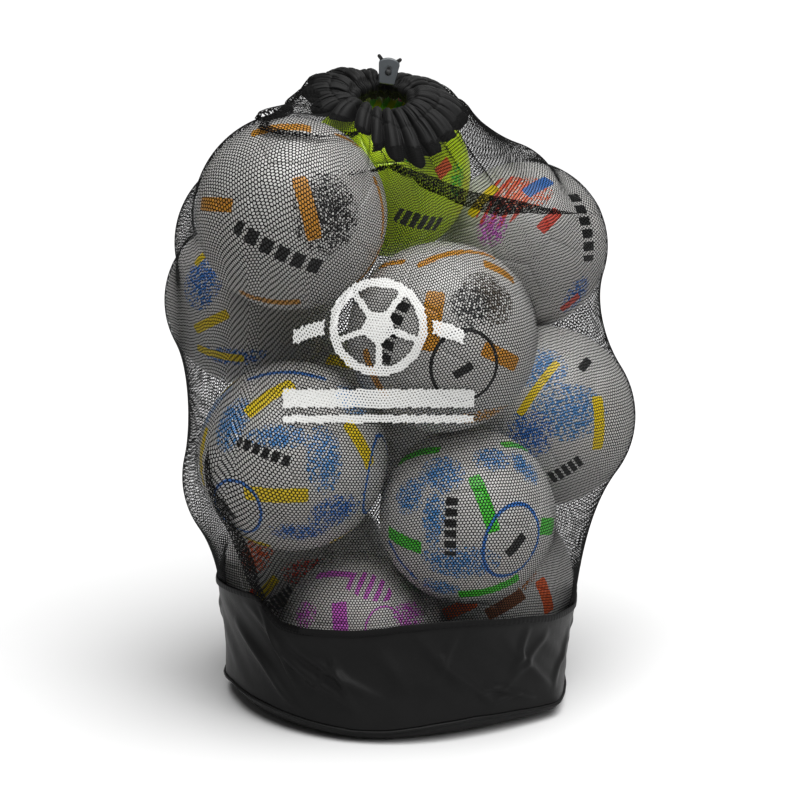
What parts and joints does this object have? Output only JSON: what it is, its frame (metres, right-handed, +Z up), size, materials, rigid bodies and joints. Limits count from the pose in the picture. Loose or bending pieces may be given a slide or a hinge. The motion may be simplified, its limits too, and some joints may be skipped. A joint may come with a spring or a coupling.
{
  "type": "mesh ball bag",
  "caption": "Drawstring carry bag of open knitted net with a solid cloth base band, a gathered cloth collar and a cord lock, packed with footballs.",
  "frame": {"origin": "middle of the round cloth base, on the ground", "axes": "+Z up, the bag's front at -Y, its left side at -X, seen from the front"},
  "size_m": [0.5913, 0.5084, 0.7736],
  "materials": {
    "cloth": "woven polyester, satin",
    "net": "knitted polyester net",
    "cord": "braided",
    "lock": "moulded, satin",
    "ball": "fine-grained synthetic leather",
    "lime_ball": "fine-grained synthetic leather",
    "valve": "matt"
  },
  "bodies": {
    "root": {"base_panel": "cloth", "base_piping": "cloth", "lower_band": "cloth", "band_binding": "cloth", "net_body": "net", "collar_casing": "cloth", "drawstring": "cord", "ball_upper_left": "ball", "ball_lime_top": "lime_ball", "ball_upper_right": "ball", "ball_upper_front": "ball", "ball_middle_left": "ball", "ball_middle_right": "ball", "ball_front_right": "ball", "ball_small_front": "ball", "ball_left_back": "ball", "ball_middle_back": "ball", "ball_lower_left": "ball", "ball_lower_right": "ball", "valve_upper_left": "valve", "valve_lime_top": "valve", "valve_upper_right": "valve", "valve_upper_front": "valve", "valve_middle_left": "valve", "valve_middle_right": "valve", "valve_front_right": "valve", "valve_small_front": "valve", "valve_left_back": "valve", "valve_middle_back": "valve", "valve_lower_left": "valve", "valve_lower_right": "valve"},
    "cord_lock": {"lock_body": "lock", "cord_tail_left": "cord", "cord_tail_right": "cord", "tail_knot_left": "cord", "tail_knot_right": "cord"},
    "lock_slider": {"lock_wedge": "lock", "lock_knob": "lock"}
  },
  "joints": [
    {"name": "lock_slide", "type": "slide", "parent": "root", "child": "cord_lock", "axis": [0.1392, 0, 0.9903], "range_m": [0, 0.016]},
    {"name": "knob_slide", "type": "slide", "parent": "cord_lock", "child": "lock_slider", "axis": [0.1392, 0, 0.9903], "range_m": [0, 0.004]}
  ]
}
